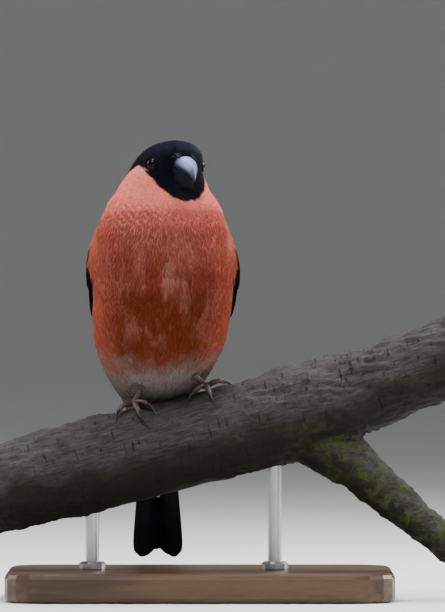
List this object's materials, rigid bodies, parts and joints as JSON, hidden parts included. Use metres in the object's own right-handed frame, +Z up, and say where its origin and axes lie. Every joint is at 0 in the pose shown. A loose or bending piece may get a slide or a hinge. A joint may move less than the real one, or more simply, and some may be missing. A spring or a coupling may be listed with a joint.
{
  "type": "bullfinch model on a perch",
  "caption": "Life-size still model of a male Eurasian bullfinch gripping a cut length of forked branch, held over a flat wooden base by two short rods.",
  "frame": {"origin": "centre of the display base's underside, at the level of the table it stands on", "axes": "+Z up; -Y is the way the bird's breast faces, towards the viewer; +X is the bird's left, the viewer's right"},
  "size_m": [0.1716, 0.086, 0.1565],
  "materials": {
    "cap_plumage": "satin",
    "breast_plumage": "matte",
    "belly_plumage": "matte",
    "flight_feathers": "satin",
    "bill_horn": "satin",
    "eye": "gloss",
    "leg_skin": "satin",
    "claw_horn": "satin",
    "bark": "matte",
    "base_wood": "satin",
    "rod_steel": "satin"
  },
  "bodies": {
    "root": {"head": "cap_plumage", "neck": "breast_plumage", "torso": "breast_plumage", "belly": "belly_plumage", "tail": "flight_feathers", "wing_left": "flight_feathers", "wing_right": "flight_feathers", "bill_upper": "bill_horn", "bill_lower": "bill_horn", "eye_left": "eye", "eye_right": "eye", "thigh_left": "belly_plumage", "thigh_right": "belly_plumage", "tarsus_left": "leg_skin", "tarsus_right": "leg_skin", "foot_left": "leg_skin", "foot_right": "leg_skin", "claw_left_hallux": "claw_horn", "claw_left_inner": "claw_horn", "claw_left_middle": "claw_horn", "claw_left_outer": "claw_horn", "claw_right_hallux": "claw_horn", "claw_right_inner": "claw_horn", "claw_right_middle": "claw_horn", "claw_right_outer": "claw_horn", "perch_branch": "bark", "perch_side_shoot": "bark", "stand_base": "base_wood", "stand_rod_left": "rod_steel", "stand_rod_right": "rod_steel"}
  },
  "joints": []
}
